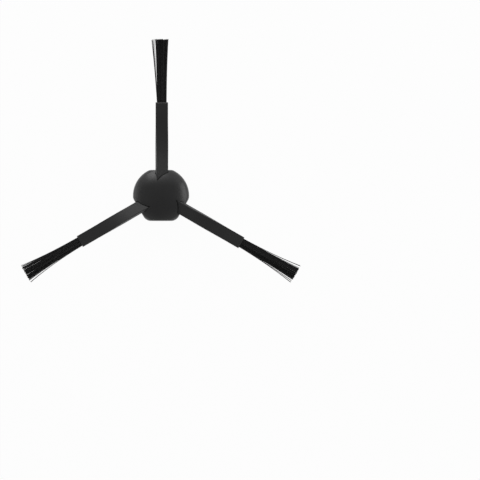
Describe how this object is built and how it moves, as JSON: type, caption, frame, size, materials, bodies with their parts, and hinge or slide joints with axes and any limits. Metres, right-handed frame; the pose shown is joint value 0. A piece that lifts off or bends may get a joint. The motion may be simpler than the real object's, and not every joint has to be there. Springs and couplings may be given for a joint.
{
  "type": "robot vacuum side brush",
  "caption": "Side brush of a robot vacuum cleaner: a domed plastic hub that snaps on a hexagonal drive shaft, with twisted rubber arms that end in bristle tufts.",
  "frame": {"origin": "on the spin axis, in the plane of the flat rim that faces the machine", "axes": "+Z along the spin axis, up through the dome; +Y along the first arm, seen from above; +X to its right"},
  "size_m": [0.1438, 0.1253, 0.0168],
  "materials": {
    "hub_plastic": "satin moulded black plastic with a fine grain",
    "arm_rubber": "matt black thermoplastic rubber",
    "bristle_nylon": "glossy black nylon filament"
  },
  "bodies": {
    "root": {"hub": "hub_plastic", "arm_1": "arm_rubber", "arm_2": "arm_rubber", "arm_3": "arm_rubber", "tuft_1": "bristle_nylon", "tuft_2": "bristle_nylon", "tuft_3": "bristle_nylon"}
  },
  "joints": []
}
